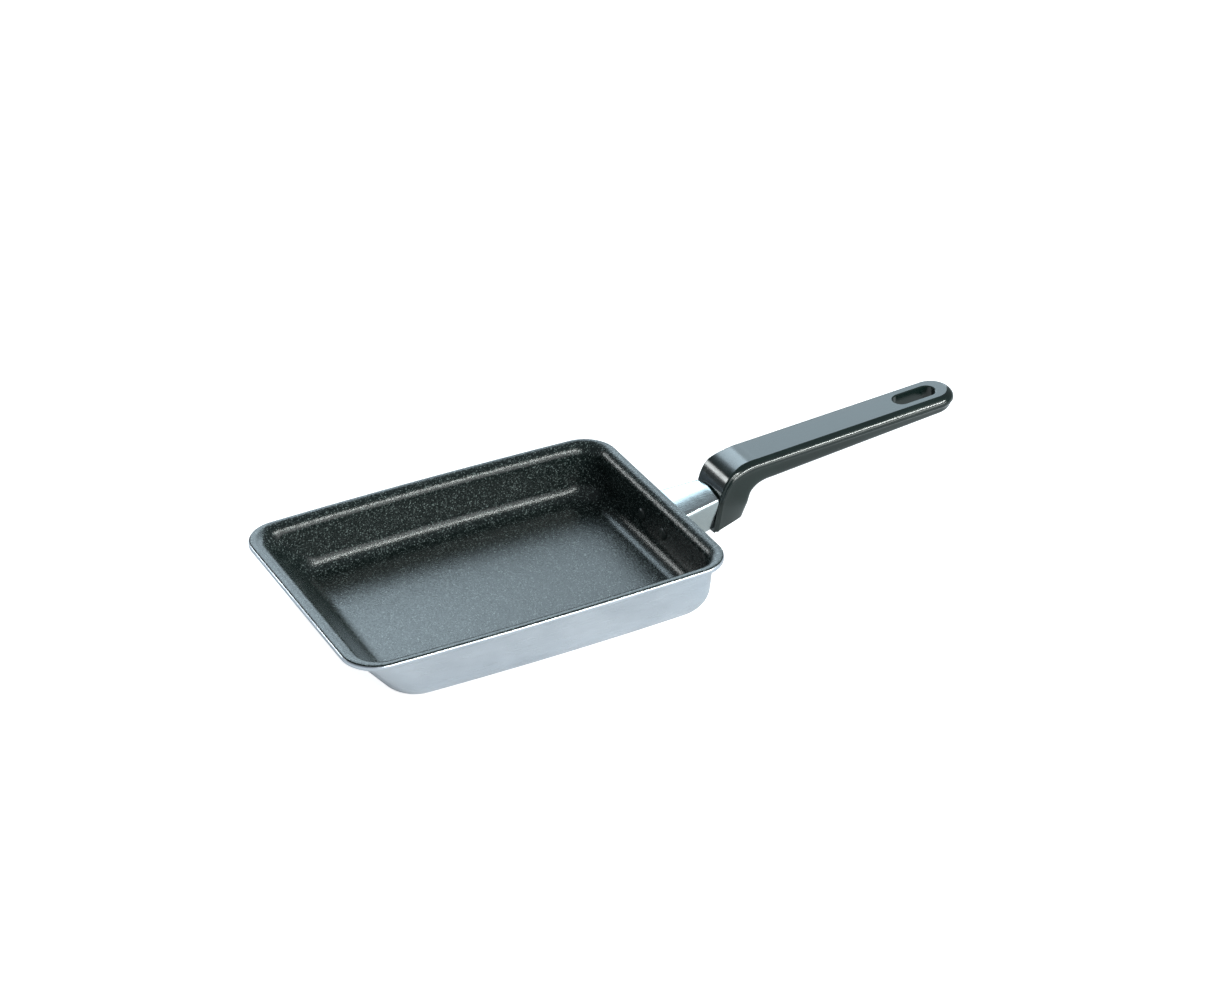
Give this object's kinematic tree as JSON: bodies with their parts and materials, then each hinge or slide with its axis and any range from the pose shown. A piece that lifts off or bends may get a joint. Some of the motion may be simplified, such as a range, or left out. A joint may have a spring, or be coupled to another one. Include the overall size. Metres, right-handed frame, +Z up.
{
  "type": "tamagoyaki pan",
  "caption": "Rectangular rolled-omelette pan with a non-stick inside, a leaning far wall, a steel sleeve and a black handle with a hanging slot.",
  "frame": {"origin": "centre of the flat underside of the base, on the plane it rests on", "axes": "+X along the handle towards its tip, +Z up from the base to the rim"},
  "size_m": [0.3583, 0.1412, 0.0484],
  "materials": {
    "pan_metal": "satin, brushed along the walls",
    "coating": "fine textured non-stick",
    "rivet": "coated black inside the pan",
    "bracket_steel": "plain",
    "sleeve_steel": "polished stainless",
    "handle_plastic": "gloss moulded phenolic",
    "fastener_steel": "zinc plated"
  },
  "bodies": {
    "root": {"pan_body": "pan_metal", "nonstick_coating": "coating", "rivet_left": "rivet", "rivet_right": "rivet", "handle_bracket": "bracket_steel", "square_nut": "fastener_steel", "sleeve": "sleeve_steel", "handle": "handle_plastic", "flat_washer": "fastener_steel", "spring_washer": "fastener_steel", "handle_screw": "fastener_steel"}
  },
  "joints": []
}
